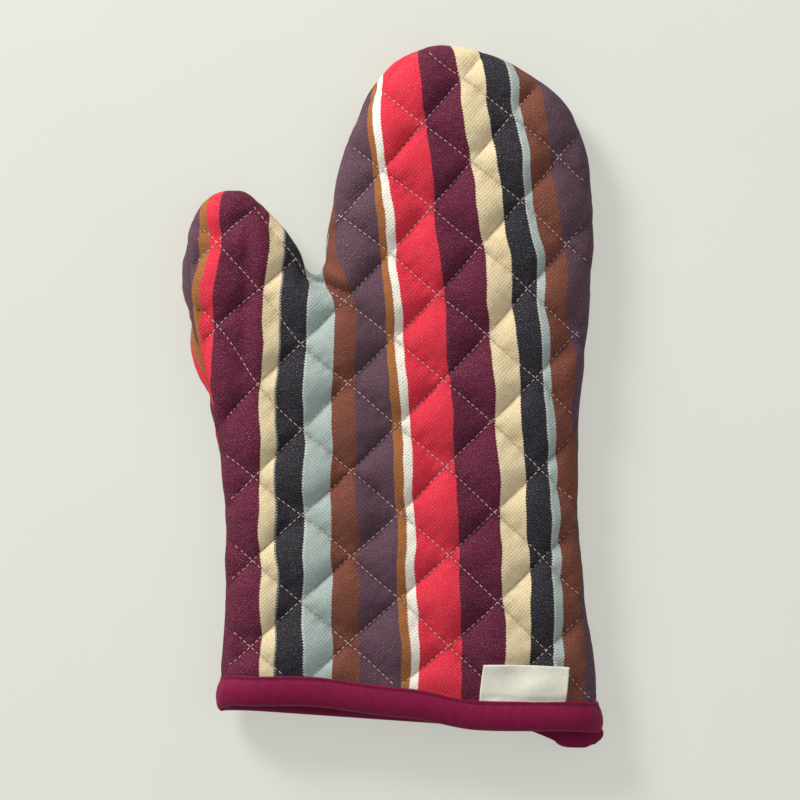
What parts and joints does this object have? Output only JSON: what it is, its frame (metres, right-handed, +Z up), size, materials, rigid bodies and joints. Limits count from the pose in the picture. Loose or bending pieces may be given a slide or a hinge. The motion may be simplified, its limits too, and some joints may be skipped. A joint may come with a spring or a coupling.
{
  "type": "oven mitt",
  "caption": "Quilted, padded mitten in striped cloth with a separate thumb, a bound cuff, a small blank label and a tape loop to hang it by; it lies flat on its back.",
  "frame": {"origin": "middle of the mitt's footprint, on the surface that it lies on", "axes": "+Y from the cuff to the fingertips, +X away from the thumb, +Z up out of the front panel"},
  "size_m": [0.1974, 0.3288, 0.0264],
  "materials": {
    "striped_cloth": "plain-weave cotton in vertical stripes of red, burgundy, cream, black, grey, rust and purple, quilted in diamonds",
    "lining_cloth": "matt undyed cotton",
    "wadding": "soft matt fibre batting",
    "binding_tape": "matt plum cotton bias tape",
    "label_cloth": "blank off-white cotton tape",
    "quilting_thread": "pale pinkish-beige sewing thread",
    "seam_thread": "plum sewing thread"
  },
  "bodies": {
    "palm": {"front_cloth_palm": "striped_cloth", "front_wadding_palm": "wadding", "front_lining_palm": "lining_cloth", "front_quilting_palm": "quilting_thread", "back_cloth_palm": "striped_cloth", "back_wadding_palm": "wadding", "back_lining_palm": "lining_cloth", "back_quilting_palm": "quilting_thread", "edge_seam_palm": "seam_thread", "cuff_binding": "binding_tape", "binding_stitching": "seam_thread", "label": "label_cloth", "loop_tack": "seam_thread"},
    "thumb": {"front_cloth_thumb": "striped_cloth", "front_wadding_thumb": "wadding", "front_lining_thumb": "lining_cloth", "front_quilting_thumb": "quilting_thread", "back_cloth_thumb": "striped_cloth", "back_wadding_thumb": "wadding", "back_lining_thumb": "lining_cloth", "back_quilting_thumb": "quilting_thread", "edge_seam_thumb": "seam_thread"},
    "fingers": {"front_cloth_fingers": "striped_cloth", "front_wadding_fingers": "wadding", "front_lining_fingers": "lining_cloth", "front_quilting_fingers": "quilting_thread", "back_cloth_fingers": "striped_cloth", "back_wadding_fingers": "wadding", "back_lining_fingers": "lining_cloth", "back_quilting_fingers": "quilting_thread", "edge_seam_fingers": "seam_thread"},
    "loop": {"hanging_loop": "binding_tape"}
  },
  "joints": [
    {"name": "thumb_fold", "type": "hinge", "parent": "palm", "child": "thumb", "pos_m": [-0.0373, 0.0606, 0.026], "axis": [0.342, 0.9397, 0], "range_deg": [0, 55], "stiffness_Nm_per_rad": 0.02},
    {"name": "finger_fold", "type": "hinge", "parent": "palm", "child": "fingers", "pos_m": [0.03, 0.0676, 0.026], "axis": [1, 0, 0], "range_deg": [0, 60], "stiffness_Nm_per_rad": 0.03},
    {"name": "loop_swing", "type": "hinge", "parent": "palm", "child": "loop", "pos_m": [0.08306, -0.15801, 0.013], "axis": [0, 0, 1], "range_deg": [0, 116]}
  ]
}
